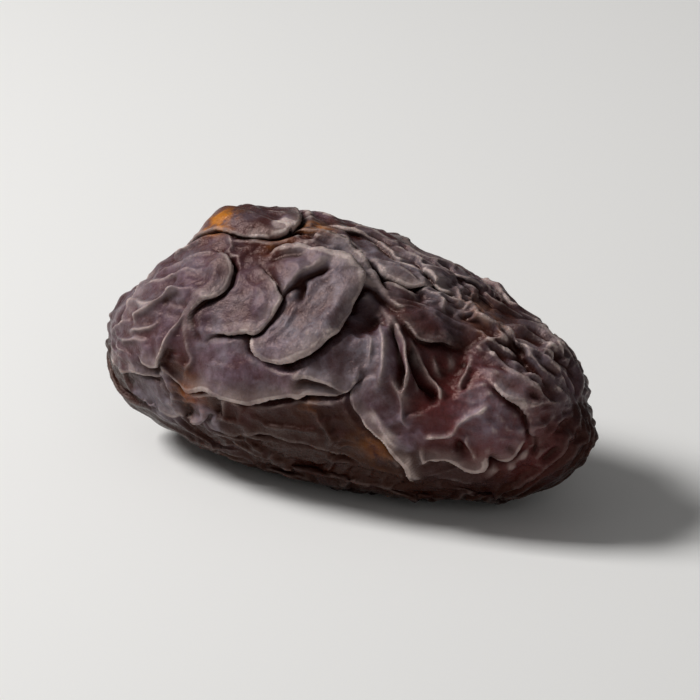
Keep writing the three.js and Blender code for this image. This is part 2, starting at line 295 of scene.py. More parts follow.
class Lattice:
    """The surface of a box of nx by ny by nz cells, as points and quads."""

    def __init__(self, cells):
        self.cells = np.array(cells)
        shape = self.cells + 1
        self.number = -np.ones(shape, int)
        on_surface = np.zeros(shape, bool)
        for where, _, _ in self._sides():
            on_surface[where] = True
        self.at = np.argwhere(on_surface)
        self.number[on_surface] = np.arange(len(self.at))
        self.quads = self._quads()
        self.edges = self._edges()

    @staticmethod
    def _sides():
        for axis in range(3):
            for side in (0, -1):
                where = [slice(None)] * 3
                where[axis] = side
                yield tuple(where), axis, side

    def _quads(self):
        quads = []
        for where, axis, side in self._sides():
            face = self.number[where]
            a, b, c, d = face[:-1, :-1], face[1:, :-1], face[1:, 1:], face[:-1, 1:]
            ring = np.stack([a, b, c, d], -1).reshape(-1, 4)
            outward = (side == -1) != (axis == 1)
            quads.append(ring if outward else ring[:, ::-1])
        return np.concatenate(quads)

    def _edges(self):
        sides = np.stack([self.quads, np.roll(self.quads, -1, 1)], -1).reshape(-1, 2)
        return np.unique(np.sort(sides, 1), axis=0)

    def neighbours(self):
        """For each point the eight points around it and their shares, which are zero where there
        are fewer."""
        corners = np.concatenate([self.quads[:, [0, 2]], self.quads[:, [1, 3]]])
        pairs = np.concatenate([self.edges, corners])
        pairs = np.concatenate([pairs, pairs[:, ::-1]])
        pairs = pairs[np.argsort(pairs[:, 0], kind="stable")]
        first = np.searchsorted(pairs[:, 0], np.arange(len(self.at)))
        slot = np.arange(len(pairs)) - first[pairs[:, 0]]
        around = np.repeat(np.arange(len(self.at))[:, None], 8, 1)
        weight = np.zeros((len(self.at), 8), np.float32)
        around[pairs[:, 0], slot] = pairs[:, 1]
        weight[pairs[:, 0], slot] = 1
        return around, weight / weight.sum(1, keepdims=True)

    def directions(self):
        """A direction from the middle for each point, evened out so that the quads are alike."""
        evened = np.tan((2 * self.at / self.cells - 1) * math.pi / 4)
        return evened / np.linalg.norm(evened, axis=1, keepdims=True)

    def refined(self, coarse, values):
        """Values of a lattice with half as many cells, spread onto this one."""
        total = 0
        for corner in np.ndindex(2, 2, 2):
            total = total + values[coarse.number[tuple(((self.at + corner) // 2).T)]]
        return total / 8


def normals(points, quads):
    a, b, c, d = (points[quads[:, i]] for i in range(4))
    face = np.cross(c - a, d - b)
    total = np.zeros_like(points)
    for i in range(4):
        np.add.at(total, quads[:, i], face)
    return total / (np.linalg.norm(total, axis=1, keepdims=True) + 1e-12)


def smoothed(values, edges, rounds):
    """Averages of each point's value with its neighbours', several times over."""
    count = np.bincount(edges.ravel(), minlength=len(values)).astype(float)
    if values.ndim > 1:
        count = count[:, None]
    for _ in range(rounds):
        total = np.zeros_like(values)
        np.add.at(total, edges[:, 0], values[edges[:, 1]])
        np.add.at(total, edges[:, 1], values[edges[:, 0]])
        values = 0.5 * values + 0.5 * total / count
    return values


def cad_surface():
    """The CAD solid's surface with its facets rounded off, as a tree that rays can be cast at."""
    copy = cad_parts["date"].copy()
    copy.data = copy.data.copy()
    bpy.context.collection.objects.link(copy)
    weld = copy.modifiers.new("weld", "WELD")
    weld.merge_threshold = 1e-6
    rounding = copy.modifiers.new("rounding", "SUBSURF")
    rounding.levels = 2
    tree = BVHTree.FromObject(copy, bpy.context.evaluated_depsgraph_get())
    mesh = copy.data
    bpy.data.objects.remove(copy)
    bpy.data.meshes.remove(mesh)
    return tree


CAD_TREE = cad_surface()


def cast(directions):
    """Where rays from the middle of the fruit meet the CAD surface, for directions on a sphere."""
    rays = directions * HALF
    rays /= np.linalg.norm(rays, axis=1, keepdims=True)
    start = Vector(MIDDLE * MM)
    return np.array([CAD_TREE.ray_cast(start, Vector(ray))[0] for ray in rays]) / MM


def place(spots):
    """Points on the CAD surface at (polar, girth) angles in degrees."""
    polar, girth = np.radians(np.array(spots, float)).T
    return cast(np.stack([-np.cos(polar), np.sin(polar) * np.cos(girth),
                          np.sin(polar) * np.sin(girth)], 1))


def catmull_rom(points, step):
    """A smooth line through points, in steps of about the given length."""
    ends = np.concatenate([[2 * points[0] - points[1]], points, [2 * points[-1] - points[-2]]])
    line = []
    for p0, p1, p2, p3 in zip(ends, ends[1:], ends[2:], ends[3:]):
        count = max(2, round(np.linalg.norm(p2 - p1) / step))
        t = (np.arange(count) / count)[:, None]
        line.append(0.5 * (2 * p1 + (p2 - p0) * t + (2 * p0 - 5 * p1 + 4 * p2 - p3) * t ** 2
                           + (3 * p1 - p0 - 3 * p2 + p3) * t ** 3))
    return np.concatenate([*line, points[-1:]])


def smoothstep(x, low, high):
    t = np.clip((x - low) / (high - low), 0, 1)
    return t * t * (3 - 2 * t)


def bell(distance, width):
    return np.exp(-(distance / width) ** 2)


def crest(distance, width):
    """The profile of a ridge, which is sharper than a bell."""
    return np.exp(-(np.abs(distance) / width) ** CREST_POWER)


def gathered(distance):
    """How far the skin beside a line is drawn towards it."""
    return -distance * GATHER * bell(distance, GATHER_WIDTH)


def plate_profile(distance, rise, drop, crease_width, edge_width, reach=PLATE_REACH):
    rim = rise * np.exp(-np.maximum(distance, 0) / reach)
    crease = -drop * np.exp(-(np.minimum(distance, 0) / crease_width) ** 2)
    return crease + (rim - crease) * smoothstep(distance, -edge_width, edge_width)


def clouds(points, size, layer):
    """Smooth noise from about -1 to 1 at the points, with blotches of the given size. Each layer
    is a noise of its own."""
    shift = Vector((31.0 * layer, 17.0, 5.0))
    return np.array([noise.noise(Vector(p / size) + shift) for p in points])


def stem_distance(points):
    """Distances from the line through the stem end and the tip."""
    return np.hypot(points[:, 1] - MIDDLE[1], points[:, 2] - MIDDLE[2])


def spot_distance(points, polar, girth):
    return np.linalg.norm(points - place([(polar, girth)]), axis=1)


def spots_mask(points, spots):
    mask = np.zeros(len(points))
    for polar, girth, radius, strength in spots:
        away = spot_distance(points, polar, girth) / radius
        mask = np.maximum(mask, strength * np.exp(-away ** 2))
    return mask


class Beside:
    """How the points of the skin lie beside one fold: which are near it, their distance (positive
    on the left), the direction to the left, and how strong the fold is there."""

    def __init__(self, points, outward, spots, reach, fade):
        line = catmull_rom(place(spots), TRACE_STEP)
        low, high = line.min(0) - reach, line.max(0) + reach
        self.near = np.flatnonzero(((points > low) & (points < high)).all(1))
        p = points[self.near]
        nearest = np.array([((line - q) ** 2).sum(1).argmin() for q in p]) if len(p) else []
        along = np.gradient(line, axis=0)[nearest]
        along /= np.linalg.norm(along, axis=1, keepdims=True)
        self.left = np.cross(outward[self.near], along)
        offset = p - line[nearest]
        side = np.sign((offset * self.left).sum(1))
        across = offset - (offset * along).sum(1)[:, None] * along
        self.distance = side * np.linalg.norm(across, axis=1)
        run = np.concatenate([[0], np.cumsum(np.linalg.norm(np.diff(line, axis=0), axis=1))])
        self.strength = smoothstep(np.minimum(run, run[-1] - run)[nearest], 0, fade)


class Folding:
    """Folds added to the skin one by one, with masks of their pale rims, which are partly painted
    highlight, and of the painted shade in their creases.
    """

    def __init__(self, points, lattice):
        self.points = points
        self.outward = normals(points, lattice.quads)
        self.stray = sum(size * clouds(points, length, layer)
                         for layer, (size, length) in enumerate(WAVES))
        self.vigour = np.clip(VIGOUR + VIGOUR_SPREAD * clouds(points, VIGOUR_SIZE, layer=3),
                              *VIGOUR_LIMITS)
        self.shift = np.zeros_like(points)
        self.pale_and_lit_rims = np.zeros(len(points))
        self.shaded_creases = np.zeros(len(points))

    def beside(self, spots, reach, fade):
        return Beside(self.points, self.outward, spots, reach, fade)

    def straying(self, fold):
        """Distances from a fold that strays from its line."""
        return fold.distance + self.stray[fold.near]

    def move(self, fold, height, sideways=None):
        if sideways is None:
            sideways = 0 * height
        self.shift[fold.near] += fold.strength[:, None] * (
            height[:, None] * self.outward[fold.near] + sideways[:, None] * fold.left)

    def mark(self, mask, fold, strength):
        mask[fold.near] = np.maximum(mask[fold.near], fold.strength * strength)

    def plate(self, rise, drop, spots, crisp=None):
        """Turns a soft plate edge of the solid into a crisp one."""
        soft = self.beside(spots, PLATE_REACH + EDGE_MARGIN, END_FADE)
        self.move(soft, -plate_profile(soft.distance, rise, drop, SOFT_CREASE, SOFT_EDGE))
        rise, drop, spots = crisp or (rise, drop * CRISP_DEEPER, spots)
        fold = self.beside(spots, PLATE_REACH + EDGE_MARGIN, END_FADE)
        s, vigour = self.straying(fold), self.vigour[fold.near]
        height = vigour * (plate_profile(s, rise, drop, CRISP_CREASE, CRISP_EDGE)
                           + LIP * bell(s - LIP_WIDTH, LIP_WIDTH))
        self.finish_edge(fold, s, height, vigour)

    def small_plate(self, rise, drop, spots):
        fold = self.beside(spots, SMALL_REACH + EDGE_MARGIN, SMALL_FADE)
        s, vigour = self.straying(fold), self.vigour[fold.near]
        height = vigour * (plate_profile(s, rise, drop, CRISP_CREASE, CRISP_EDGE, SMALL_REACH)
                           + SMALL_LIP * LIP * bell(s - LIP_WIDTH, LIP_WIDTH))
        self.finish_edge(fold, s, height, SMALL_VIGOUR * vigour)

    def finish_edge(self, fold, s, height, vigour):
        lean = (-OVERHANG * vigour * smoothstep(s, -CRISP_EDGE, CRISP_EDGE)
                * bell(np.maximum(s, 0), OVERHANG_WIDTH))
        self.move(fold, height, lean + gathered(s))
        # The pale rim: partly the skin's thin pale edge, partly painted highlight.
        rim = np.maximum(bell(s - RIM_AT, RIM_WIDTH), RIM_BAND * bell(s - RIM_BAND_AT, RIM_BAND_WIDTH))
        self.mark(self.pale_and_lit_rims, fold, vigour * rim)
        # The crease below the rim is painted darker, as shade.
        self.mark(self.shaded_creases, fold, vigour * bell(s - CREASE_AT, CREASE_WIDTH))

    def ridge(self, rise, spots, crisp=None):
        """Turns a soft ridge of the solid into a crisp one."""
        soft = self.beside(spots, PLATE_REACH, END_FADE)
        self.move(soft, -rise * bell(soft.distance, SOFT_RIDGE))
        rise, spots = crisp or (CRISP_HIGHER * rise, spots)
        fold = self.beside(spots, PLATE_REACH, END_FADE)
        s, vigour = self.straying(fold), self.vigour[fold.near]
        self.move(fold, rise * vigour * crest(s, CRISP_RIDGE), gathered(s))
        # A pale line along the crest, partly painted highlight.
        self.mark(self.pale_and_lit_rims, fold, vigour * bell(s, RIDGE_MARK))

    def small_ridge(self, rise, spots):
        fold = self.beside(spots, NARROW_REACH, SMALL_FADE)
        s, vigour = self.straying(fold), self.vigour[fold.near]
        height = SMALL_RIDGE_GAIN * rise * vigour * (crest(s, FINE_RIDGE)
                                                     - FOOT * bell(s, FOOT_WIDTH))
        self.move(fold, height, gathered(s))
        # A pale line along the crest, partly painted highlight.
        self.mark(self.pale_and_lit_rims, fold, SMALL_RIDGE_PALE * vigour * bell(s, SMALL_RIDGE_MARK))

    def groove(self, depth, spots):
        fold = self.beside(spots, NARROW_REACH, SMALL_FADE)
        s = fold.distance
        profile = BANK * bell(s, BANK_WIDTH) - bell(s, GROOVE_WIDTH)
        self.move(fold, GROOVE_GAIN * depth * profile)
        # The groove is painted darker, as shade.
        self.mark(self.shaded_creases, fold, bell(s, GROOVE_MARK))

    def welt(self, height, spots):
        fold = self.beside(spots, WELT_REACH, SMALL_FADE)
        self.move(fold, height * bell(self.straying(fold), WELT_WIDTH))

    def hollow(self, height, polar, girth, radius):
        share = bell(spot_distance(self.points, polar, girth), radius)
        self.shift += (height * share)[:, None] * self.outward
        # Hollows deeper than SHALLOW are painted darker, as shade.
        self.shaded_creases = np.maximum(self.shaded_creases, -height * share - SHALLOW)

    def crinkle(self):
        """A net of small sharp wrinkles, where the skin has many of them. They run lengthwise and
        draw together towards the ends of the fruit."""
        share = np.maximum(spots_mask(self.points, CRINKLED), CRINKLED_ANYWHERE)
        away = stem_distance(self.points)[:, None] + 1e-6
        around = (self.points - MIDDLE)[:, 1:] / away * (PUCKER_START + PUCKER_SPREAD * away)
        drawn = np.column_stack([self.points[:, 0] / CRINKLE_STRETCH, around])
        for height, size, layer in CRINKLES:
            net = np.minimum(np.abs(clouds(drawn, size, layer)), FLAT_BETWEEN)
            self.shift += (height * share * (0.5 * FLAT_BETWEEN - net))[:, None] * self.outward

    def dimples(self):
        """The slight unevenness of the whole skin."""
        height = sum(size * clouds(self.points, length, layer=7) for size, length in DIMPLES)
        self.shift += height[:, None] * self.outward

    def scar(self):
        """Fibres that run out from the middle of the stem scar."""
        points, away = self.points, stem_distance(self.points)
        at_stem_end = points[:, 0] < 0
        side = np.arctan2(points[:, 2] - MIDDLE[2], points[:, 1] - MIDDLE[1])
        wander = FIBRE_WANDER * clouds(points, WANDER_SIZE, layer=5)
        ray = np.abs(np.cos(FIBRES * side / 2 + wander))
        ring = smoothstep(away, *FIBRES_START) * (1 - smoothstep(away, *FIBRES_END)) * at_stem_end
        self.shift += (FIBRE_HEIGHT * (ray - FIBRE_LEVEL) * ring)[:, None] * self.outward
        pith = 0.5 + clouds(points, PITH_SIZE, layer=6)
        self.fibres = np.where(away < PITH_RADIUS, pith, ray)
        ragged = away - RAGGED_BY_FIBRES * ray - RAGGED * clouds(points, RAGGED_SIZE, layer=8)
        self.scarred = (1 - smoothstep(ragged, *SCAR_EDGE)) * at_stem_end


def sharpened(points, lattice):
    """The skin with its soft folds made crisp and the small ones added, and the folds."""
    folds = Folding(points, lattice)
    for add, settings in [(folds.plate, PLATE_EDGES), (folds.ridge, RIDGES),
                          (folds.small_plate, SMALL_EDGES), (folds.small_ridge, SMALL_RIDGES),
                          (folds.groove, GROOVES), (folds.hollow, HOLLOWS), (folds.welt, WELTS)]:
        for setting in settings:
            add(*setting)
    folds.dimples()
    folds.crinkle()
    folds.scar()
    return points + smoothed(folds.shift, lattice.edges, rounds=2), folds


# How much the skin has outgrown the flesh, as a share of its length across the fruit, and the
# places (polar, girth, radius, share) where it wrinkles less or more than that.
OVERGROWTH = 0.15
PATCHINESS, PATCH_SIZE, PATCH_LIMITS = 1.2, 4.5, (0.3, 2)
WRINKLING = [
    (50, 150, 7, 0.4), (60, 125, 5, 0.4), (77, 135, 5, 0.35), (92, 140, 5, 0.35),
    (80, 170, 6, 0.35), (102, 160, 4, 0.4), (64, 84, 5, 0.4), (142, 190, 5, 0.25),
    (125, 122, 3, 0.4), (115, 150, 4, 0.4), (131, 150, 3, 0.5), (110, 185, 4, 0.5),
    (127, 202, 3, 0.7), (130, 176, 4, 0.2), (106, 124, 3, 0.4), (0, 0, 4, 0.3), (180, 0, 3.5, 0.25),
    (132, 98, 6, 0.9), (154, 140, 7, 0.7), (155, 60, 9, 1.3), (156, 205, 7, 0.8),
    (112, 168, 3, 0.5), (145, 158, 4, 0.4), (72, 214, 7, 1.2), (110, 225, 8, 1.2), (40, 20, 9, 1.4),
    (95, 300, 10, 1.2),
]


def overgrowth(points):
    growth = np.full(len(points), OVERGROWTH)
    for polar, girth, radius, share in WRINKLING:
        growth *= 1 + (share - 1) * bell(spot_distance(points, polar, girth), radius)
    return growth * np.clip(1 + PATCHINESS * clouds(points, PATCH_SIZE, layer=0), *PATCH_LIMITS)


MOMENTUM, STRETCH = 0.8, 0.7
BEND, FINE_BEND = 0.03, 0.015
HOLD_IN, HOLD_OUT, SLIDE = 0.008, 0.002, 0.002  # how firmly the flesh holds the skin
HIGH_LIFT = 0.7  # where the flesh starts to hold a risen ridge back
LENGTHWISE = 0.3  # growth along the fruit, as a share of the growth across it
TIP_LENGTHWISE, TIP_SPAN = 0.3, (8, 20)  # what is added to that at the tip, and where along X


def grown_rest(level, apart):
    """The lengths that the skin would have between neighbours if nothing held it."""
    rest = np.linalg.norm(apart, axis=2)
    across = np.cross(np.array([1.0, 0, 0]), level.outward.astype(np.float32))
    across /= np.linalg.norm(across, axis=1, keepdims=True) + 1e-6
    crosswise = np.einsum("ijk,ik->ij", apart, across) ** 2 / (rest ** 2 + 1e-9)
    tip = smoothstep(level.ground[:, 0], *TIP_SPAN)
    lengthwise = (LENGTHWISE + TIP_LENGTHWISE * tip)[:, None]
    growth = overgrowth(level.ground)[:, None] * (lengthwise + (1 - lengthwise) * crosswise)
    return (rest * (1 + growth)).astype(np.float32)


def shrivelled(start, level, rounds, bend):
    """Lets the skin buckle: it has grown wider than the flesh that it sticks to. The flesh gives
    way less inwards than outwards, so the skin rises in ridges between rounded valleys."""
    around, share = level.lattice.neighbours()
    outward = level.outward.astype(np.float32)
    ground = level.ground.astype(np.float32)
    apart = ground[around] - ground[:, None]
    rest = grown_rest(level, apart)
    curve = np.einsum("ij,ijk->ik", share, apart)
    at = start.astype(np.float32)
    before = at
    for _ in range(rounds):
        at, before = at + MOMENTUM * (at - before), at
        apart = at[around] - at[:, None]
        length = np.sqrt(np.einsum("ijk,ijk->ij", apart, apart)) + 1e-6
        pull = np.einsum("ij,ijk->ik", share * (1 - rest / length), apart)
        bent = np.einsum("ij,ijk->ik", share, apart) - curve
        unbend = np.einsum("ij,ijk->ik", share, bent[around]) - bent
        off = at - ground
        lift = np.einsum("ij,ij->i", off, outward)[:, None]
        firmness = HOLD_OUT * (1 + (lift / HIGH_LIFT) ** 2)
        hold = np.where(lift < 0, HOLD_IN, firmness).astype(np.float32)
        at = (at + STRETCH * pull - bend * unbend - hold * lift * outward
              - SLIDE * (off - lift * outward))
        at[:, 2] = np.maximum(at[:, 2], 0)
    return at.astype(float)


class Level:
    """One fineness of the skin: its grid, the CAD surface on it, and that with crisp folds."""

    def __init__(self, cells, smoothing):
        self.lattice = Lattice(cells)
        surface = cast(self.lattice.directions())
        self.base = smoothed(surface, self.lattice.edges, smoothing)
        self.outward = normals(self.base, self.lattice.quads)
        self.ground, self.folds = sharpened(self.base, self.lattice)

    def uneasy(self, points, rng, size):
        """The skin with a slight random unevenness, from which the buckling starts."""
        return points + size * rng.standard_normal((len(points), 1)) * self.outward

    def taking_over(self, coarse, points):
        """The shape that a coarser level has reached, on this one."""
        return self.ground + self.lattice.refined(coarse.lattice, points - coarse.ground)


def shrivel_in_steps(fine):
    """The skin buckles on a coarse grid first, then each finer grid adds its smaller wrinkles."""
    rng = np.random.default_rng(7)
    coarse, midway = Level(*COARSE), Level(*MIDWAY)
    start = coarse.uneasy(coarse.ground, rng, size=0.05)
    points = shrivelled(start, coarse, rounds=300, bend=BEND)
    start = midway.uneasy(midway.taking_over(coarse, points), rng, size=0.02)
    points = shrivelled(start, midway, rounds=200, bend=BEND)
    start = fine.uneasy(fine.taking_over(midway, points), rng, size=0.01)
    return shrivelled(start, fine, rounds=70, bend=FINE_BEND)


def relief(points, level, rounds):
    """How far each point stands out of the skin around it, and the way that it does so."""
    even = smoothed(points, level.lattice.edges, rounds)
    outward = normals(even, level.lattice.quads)
    return ((points - even) * outward).sum(1), outward


PINCH, PINCH_LIMIT = 0.9, 0.25  # the share of the relief that is added, and the most that counts


def pinched(points, level):
    """The skin with its ridges and creases drawn out further."""
    points = smoothed(points, level.lattice.edges, rounds=1)
    height, outward = relief(points, level, rounds=6)
    return points + PINCH * np.clip(height, -PINCH_LIMIT, PINCH_LIMIT)[:, None] * outward


OVER = 0.012  # how far the highest ridges stand out of the solid's box, as a share of its sides


def fitted(points):
    """The skin set back into about the box of the CAD solid, and onto the floor."""
    low, high = points.min(0), points.max(0)
    margin = OVER * (HIGH - LOW)
    floor_margin = margin * (1, 1, 0)
    return LOW - floor_margin + (points - low) * (HIGH - LOW + margin + floor_margin) / (high - low)


# Places of a colour of their own, as (polar, girth, radius, strength).
WINE = [  # dark red skin
    (132, 152, 3, 1.0), (137, 166, 4, 1.0), (143, 184, 5, 0.9), (128, 180, 4, 0.7),
    (104, 142, 2.0, 0.4), (117, 150, 3, 0.5), (150, 212, 6, 0.5), (80, 110, 3, 0.4),
    (120, 20, 6, 0.6), (60, 350, 6, 0.5), (67, 188, 1.8, 0.7), (112, 200, 2, 0.4),
    (80, 188, 3, 0.35),
]
AMBER = [  # golden patches
    (63, 101, 1.4, 1.7), (82, 92, 1.7, 0.9), (66, 188, 2.0, 0.3), (112, 199, 2.0, 0.3),
    (96, 179, 1.2, 0.25), (78, 109, 1.5, 0.3), (132, 92, 2.4, 0.35), (139, 103, 2.2, 0.25),
    (60, 30, 2.0, 0.7), (112, 355, 2.0, 0.4),
]
BLOOM_AND_SHEEN = [  # dusty bloom with painted sheen in it, which from a strength of 1.1 on also lies in the dips
    (50, 150, 9, 0.8), (56, 126, 7, 0.8), (78, 138, 5, 0.6), (92, 145, 5, 1.9), (97, 128, 4, 1.6),
    (92, 114, 4, 0.85), (76, 166, 4.3, 1.2), (87, 167, 4.3, 1.2), (99, 165, 2.8, 1.7),
    (107, 155, 3.6, 2.1), (72, 98, 5, 0.35), (76.5, 96, 1.1, 1.3), (98, 98, 6, 0.95),
    (112, 88, 6, 1.0), (86, 118, 2, 0.9), (120, 118, 5, 0.35), (124, 100, 4, 1.0),
    (113, 181, 2.2, 1.5), (118, 193, 2.0, 1.3), (128, 204, 4, 0.85), (150, 110, 6, 0.7),
    (160, 160, 8, 0.6), (158, 200, 5, 0.5), (70, 30, 12, 0.8), (110, 20, 10, 0.6),
    (150, 20, 9, 0.5), (56, 202, 4.0, 1.7), (70, 201, 2.2, 1.6), (90, 350, 9, 0.5),
    (142, 191, 3.6, 1.1), (137, 175, 2.2, 1.5), (114, 165, 3, 0.6), (145, 165, 4, 0.8),
    (152, 178, 4, 0.7),
]
GREYED = [  # bloom and painted sheen that is grey instead of mauve
    (93, 138, 5, 1.0), (98, 98, 6, 1.0), (114, 90, 7, 1.0), (124, 102, 4, 0.8), (107, 157, 4, 0.8),
    (99, 170, 3, 0.9), (57, 202, 5, 0.9), (130, 204, 5, 0.7), (72, 96, 4, 0.5), (150, 150, 7, 0.7),
    (152, 178, 5, 0.7), (66, 150, 3, 0.4), (90, 350, 9, 0.6), (140, 60, 10, 0.7),
]
BARE = [  # bare skin, which gets the same dark brown as the shaded belly
    (67, 189, 3.0, 1.0), (74, 192, 3, 0.9), (82, 193, 4, 1.0), (92, 194, 5, 1.0),
    (102, 194, 4, 1.0), (108, 206, 4.5, 1.0), (146, 216, 3.5, 0.9), (154, 218, 5, 0.8),
    (100, 210, 6, 0.9), (84, 210, 6, 0.8),
]
PALE = [  # unbroken pale rims, and pale dabs where the strength is over 1, both partly painted highlight
    (122, 204, 2, 0.8), (128, 206, 2, 0.75), (134, 209, 2, 0.75), (140, 207, 2, 0.7),
    (146, 203, 2, 0.6), (108, 176, 2, 0.8), (110.5, 183, 1.8, 1.5), (114, 192, 1.6, 1.5),
    (76.5, 97, 1.2, 2.2), (106, 93, 1.6, 1.3), (118, 97, 1.6, 1.35), (118, 203, 1.6, 1.0),
    (119, 213, 1.6, 0.9), (96, 116, 3, 0.9), (100, 128, 3, 0.7), (92, 160, 3, 0.7),
    (70, 128, 3, 0.6), (84, 140, 3, 0.6), (62, 184, 1.4, 0.6), (71, 183, 1.8, 0.9),
    (79, 182, 1.8, 0.9), (87, 180, 1.8, 0.9), (95, 176, 1.8, 0.9), (102, 172, 1.8, 0.9),
    (137, 172, 4, 0.9), (144, 160, 3, 0.7), (60, 172, 4, 0.8), (62, 155, 3, 0.8), (53, 152, 4, 0.9),
    (100, 92, 6, 0.7), (118, 97, 5, 0.9), (112, 88, 6, 0.8), (62, 202, 2, 0.6), (114, 145, 4, 0.7),
    (126, 160, 4, 0.7),
]
SPOTS = {"wine": WINE, "amber": AMBER, "bloom": BLOOM_AND_SHEEN, "greyed": GREYED, "pale": PALE}

# The rounds of smoothing that the relief is measured against, and the height that counts as 1.
# The reliefs also paint highlight on raised places and shade in low ones.
RELIEFS = {"close_relief": (6, 0.08), "wide_relief": (40, 0.4), "fine_relief": (2, 0.03)}
UNDERSIDE = (0.02, 0.4)  # how far down the belly's painted shade begins and is full, as sines of an angle


def shaded_and_bare_belly_mask(level):
    # The underside, painted darker as shade, together with the bare brown patches.
    upward = np.arctan2(level.base[:, 2] - MIDDLE[2], np.abs(level.base[:, 1]) + 1e-6)
    return np.maximum(smoothstep(-np.sin(upward), *UNDERSIDE), spots_mask(level.base, BARE))


def skin_object(points, level):
    mesh = bpy.data.meshes.new("date_skin")
    mesh.from_pydata((points * MM).tolist(), [], level.lattice.quads.tolist())
    mesh.polygons.foreach_set("use_smooth", [True] * len(mesh.polygons))
    masks = {
        # The rim mask is partly painted highlight, the crease mask painted shade, and the belly
        # mask painted shade on the underside with bare patches.
        "rim": level.folds.pale_and_lit_rims,
        "crease": level.folds.shaded_creases,
        "scar": level.folds.scarred,
        "fibre": level.folds.fibres,
        "shaded_and_bare_belly": shaded_and_bare_belly_mask(level),
    }
    for name, spots in SPOTS.items():
        masks[name] = spots_mask(level.base, spots)
    for name, (rounds, height) in RELIEFS.items():
        masks[name] = relief(points, level, rounds)[0] / height
    for name, values in masks.items():
        mesh.attributes.new(name, "FLOAT", "POINT").data.foreach_set("value", values)
    return added("date_skin", mesh)


class Nodes:
    """A few short ways to make and join shader nodes."""

    def __init__(self, material):
        self.tree = material.node_tree
        self.coordinates = self.make("ShaderNodeTexCoord").outputs["Object"]

    def make(self, kind, **settings):
        node = self.tree.nodes.new(kind)
        for name, value in settings.items():
            setattr(node, name, value)
        return node

    def feed(self, socket, value):
        if isinstance(value, bpy.types.NodeSocket):
            self.tree.links.new(value, socket)
        elif isinstance(value, tuple) and len(value) == 3 and socket.type == "RGBA":
            socket.default_value = (*value, 1)
        else:
            socket.default_value = value

    def mask(self, name):
        return self.make("ShaderNodeAttribute", attribute_name=name).outputs["Fac"]

    def noise(self, size, detail=3.0, roughness=0.55):
        """Noise whose blotches are about the given number of millimetres across."""
        node = self.make("ShaderNodeTexNoise")
        self.feed(node.inputs["Vector"], self.coordinates)
        node.inputs["Scale"].default_value = 1 / (size * MM)
        node.inputs["Detail"].default_value = detail
        node.inputs["Roughness"].default_value = roughness
        return node.outputs["Fac"]

    def span(self, value, low, high, to_low=0.0, to_high=1.0):
        """A smooth step from to_low to to_high, as the value goes from low to high."""
        node = self.make("ShaderNodeMapRange", interpolation_type="SMOOTHSTEP")
        for socket, setting in zip(node.inputs, (value, low, high, to_low, to_high)):
            self.feed(socket, setting)
        return node.outputs["Result"]

    def math(self, operation, a, b):
        node = self.make("ShaderNodeMath", operation=operation)
        self.feed(node.inputs[0], a)
        self.feed(node.inputs[1], b)
        return node.outputs[0]

    def product(self, first, *others):
        for other in others:
            first = self.math("MULTIPLY", first, other)
        return first

    def highest(self, first, *others):
        for other in others:
            first = self.math("MAXIMUM", first, other)
        return first

    def mix(self, share, a, b):
        node = self.make("ShaderNodeMix", data_type="RGBA")
        self.feed(node.inputs[0], share)
        self.feed(node.inputs[6], a)
        self.feed(node.inputs[7], b)
        return node.outputs[2]

    def bump(self, height, depth, normal=None):
        node = self.make("ShaderNodeBump")
        node.inputs["Distance"].default_value = depth * MM
        self.feed(node.inputs["Height"], height)
        if normal is not None:
            self.feed(node.inputs["Normal"], normal)
        return node.outputs["Normal"]


# The near black of the painted shade in creases and hollows, also used for the skin's small dark
# specks.
SHADE_AND_SPECK_DARK = (0.017, 0.0036, 0.0025)
FLESH = (0.052, 0.0115, 0.0080)
DARK_FLESH = (0.028, 0.0065, 0.0045)
WINE_RED = (0.110, 0.020, 0.019)
# The brown of bare skin, also painted over the underside as shade.
BARE_AND_SHADED_BROWN = (0.020, 0.0038, 0.0009)
# The bloom's mauve and grey, which also stand in for painted sheen on the plates.
MAUVE_BLOOM_AND_SHEEN = (0.210, 0.140, 0.182)
GREY_BLOOM_AND_SHEEN = (0.204, 0.174, 0.198)
# The pale of rims and ridges, partly the skin's own thin edges and partly painted highlight.
PALE_RIM_AND_HIGHLIGHT = (0.62, 0.50, 0.46)
AMBER_GOLD = (0.46, 0.155, 0.012)
SCAR_BROWN = (0.050, 0.017, 0.006)
SCAR_TAN = (0.19, 0.088, 0.031)
SPECULAR_LEVEL, SPECULAR_TINT = 0.19, (1.0, 0.64, 0.55, 1)
SCATTERING, SCATTERING_REACH = 0.08, (1.0, 0.35, 0.15)  # the reach is a share of the scale below
SCATTERING_SCALE = 0.6  # in millimetres
PUCKER_DEPTH, GRAIN_DEPTH = 0.22, 0.05  # of the bumps


